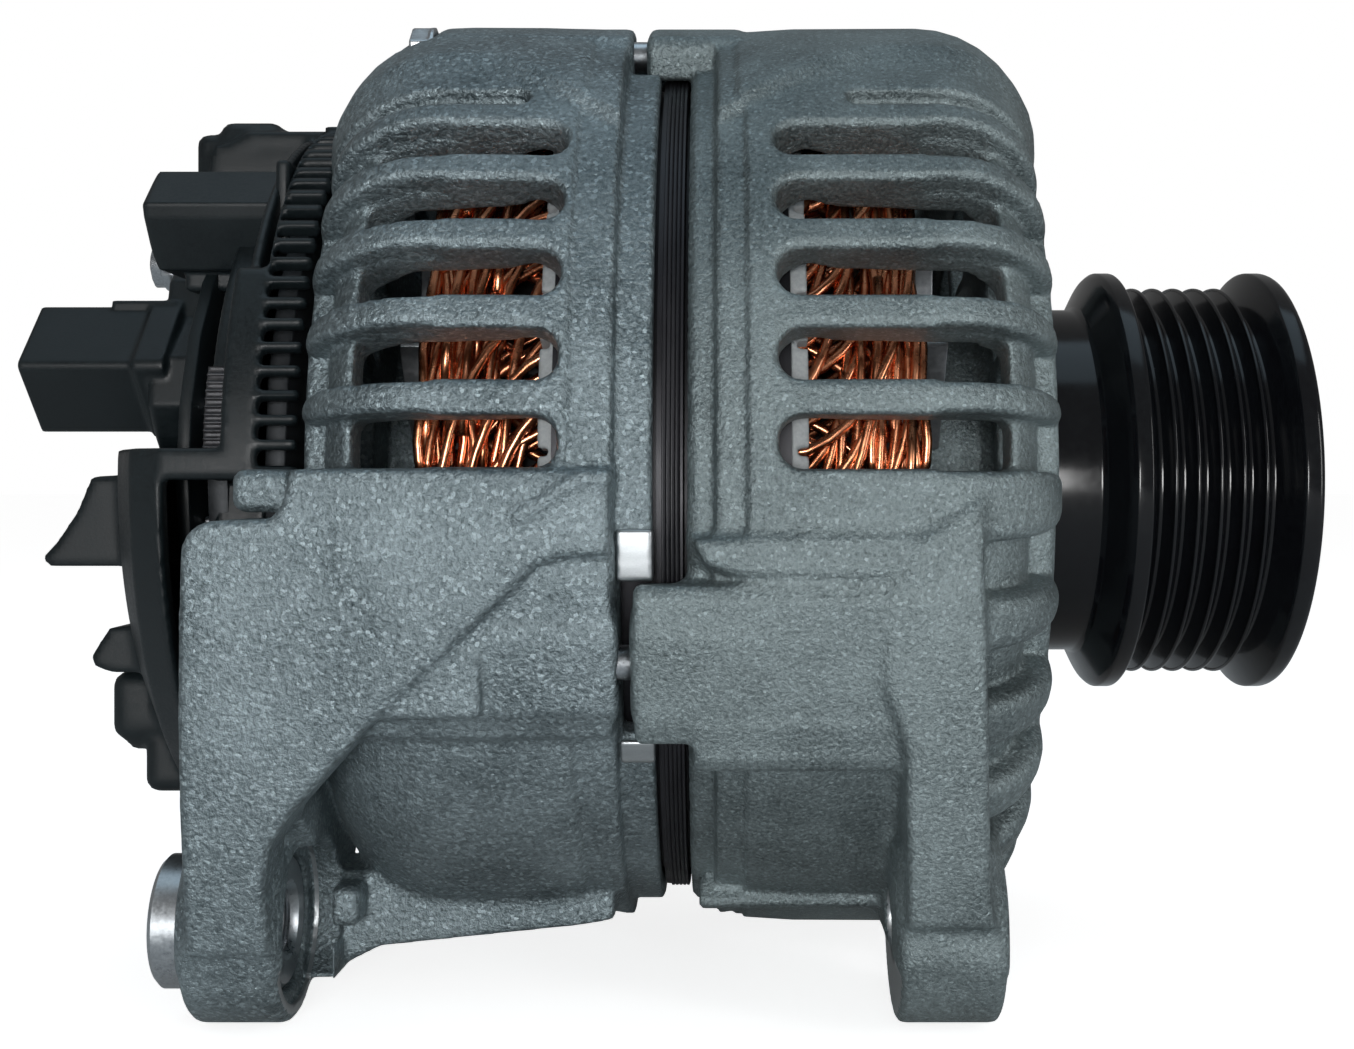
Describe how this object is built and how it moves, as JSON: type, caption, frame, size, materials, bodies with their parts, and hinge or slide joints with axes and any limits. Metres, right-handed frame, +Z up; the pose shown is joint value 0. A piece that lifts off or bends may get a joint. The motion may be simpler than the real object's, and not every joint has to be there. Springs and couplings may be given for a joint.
{
  "type": "car alternator",
  "caption": "Compact belt-driven car alternator with slotted cast housings, grooved pulley, two pivot lugs on one side and a plastic rear cover with a plug socket.",
  "frame": {"origin": "centre of the shaft's flat front end, on the shaft axis", "axes": "+X along the shaft out of the pulley end, +Z up, -Y towards the pivot lugs"},
  "size_m": [0.2075, 0.1505, 0.1544],
  "materials": {
    "cast_aluminium": "shot-blasted die casting, fine grain",
    "machined_aluminium": "turned and sheared, plain",
    "black_coat": "glossy black electro-coat",
    "black_plastic": "glass-filled moulding, satin",
    "laminated_steel": "black varnished laminations",
    "pole_steel": "forged, lacquered",
    "copper_wire": "enamelled and varnished wire",
    "bearing_steel": "ground",
    "zinc_steel": "zinc plated",
    "bobbin_plastic": "natural moulding",
    "graphite": "pressed copper graphite"
  },
  "bodies": {
    "housing": {"b_plus_nut": "zinc_steel", "b_plus_stud": "zinc_steel", "bearing_retainer_plate": "zinc_steel", "brush_holder": "black_plastic", "brush_spring_negative": "zinc_steel", "brush_spring_positive": "zinc_steel", "connection_plate": "black_plastic", "cover_screw_1": "zinc_steel", "cover_screw_2": "zinc_steel", "cover_screw_3": "zinc_steel", "diode_1": "bearing_steel", "diode_2": "bearing_steel", "diode_3": "bearing_steel", "diode_4": "bearing_steel", "diode_5": "bearing_steel", "diode_6": "bearing_steel", "drive_end_bracket": "cast_aluminium", "front_bearing_outer_ring": "bearing_steel", "negative_heat_sink": "machined_aluminium", "positive_heat_sink": "machined_aluminium", "rear_bearing_cup": "bobbin_plastic", "rear_bearing_outer_ring": "bearing_steel", "rear_cover": "black_plastic", "regulator": "black_plastic", "regulator_screw_1": "zinc_steel", "regulator_screw_2": "zinc_steel", "retainer_screw_1": "zinc_steel", "retainer_screw_2": "zinc_steel", "retainer_screw_3": "zinc_steel", "retainer_screw_4": "zinc_steel", "slip_ring_end_bracket": "cast_aluminium", "stator_core": "laminated_steel", "stator_winding": "copper_wire", "terminal_block": "black_plastic", "through_bolt_1": "zinc_steel", "through_bolt_2": "zinc_steel", "through_bolt_3": "zinc_steel", "through_bolt_4": "zinc_steel"},
    "rotor": {"rotor_shaft": "bearing_steel", "front_claw_pole": "pole_steel", "rear_claw_pole": "pole_steel", "field_coil": "copper_wire", "coil_bobbin": "bobbin_plastic", "front_fan": "zinc_steel", "rear_fan": "zinc_steel", "slip_ring_hub": "black_plastic", "slip_ring_inner": "copper_wire", "slip_ring_outer": "copper_wire", "front_bearing_inner_ring": "bearing_steel", "rear_bearing_inner_ring": "bearing_steel", "bearing_spacer": "bearing_steel", "pulley": "black_coat", "pulley_nut": "zinc_steel"},
    "front_bearing_cage": {"front_bearing_balls": "bearing_steel"},
    "rear_bearing_cage": {"rear_bearing_balls": "bearing_steel"},
    "positive_brush": {"brush_positive": "graphite"},
    "negative_brush": {"brush_negative": "graphite"},
    "bush": {"mounting_bush": "zinc_steel"}
  },
  "joints": [
    {"name": "rotor_spin", "type": "hinge", "parent": "housing", "child": "rotor", "pos_m": [0, 0, 0], "axis": [1, 0, 0], "continuous": true},
    {"name": "front_bearing_cage_spin", "type": "hinge", "parent": "housing", "child": "front_bearing_cage", "pos_m": [0, 0, 0], "axis": [1, 0, 0], "continuous": true},
    {"name": "rear_bearing_cage_spin", "type": "hinge", "parent": "housing", "child": "rear_bearing_cage", "pos_m": [0, 0, 0], "axis": [1, 0, 0], "continuous": true},
    {"name": "positive_brush_slide", "type": "slide", "parent": "housing", "child": "positive_brush", "axis": [0, 0, 1], "range_m": [0, 0.008], "stiffness_N_per_m": 60, "springref_m": -0.01, "deforming": ["brush_spring_positive"]},
    {"name": "negative_brush_slide", "type": "slide", "parent": "housing", "child": "negative_brush", "axis": [0, 0, 1], "range_m": [0, 0.008], "stiffness_N_per_m": 60, "springref_m": -0.01, "deforming": ["brush_spring_negative"]},
    {"name": "bush_slide", "type": "slide", "parent": "housing", "child": "bush", "axis": [1, 0, 0], "range_m": [0, 0.002]}
  ],
  "couplings": [
    {"joint": "front_bearing_cage_spin", "follows": "rotor_spin", "ratio": 0.406},
    {"joint": "rear_bearing_cage_spin", "follows": "rotor_spin", "ratio": 0.416}
  ]
}
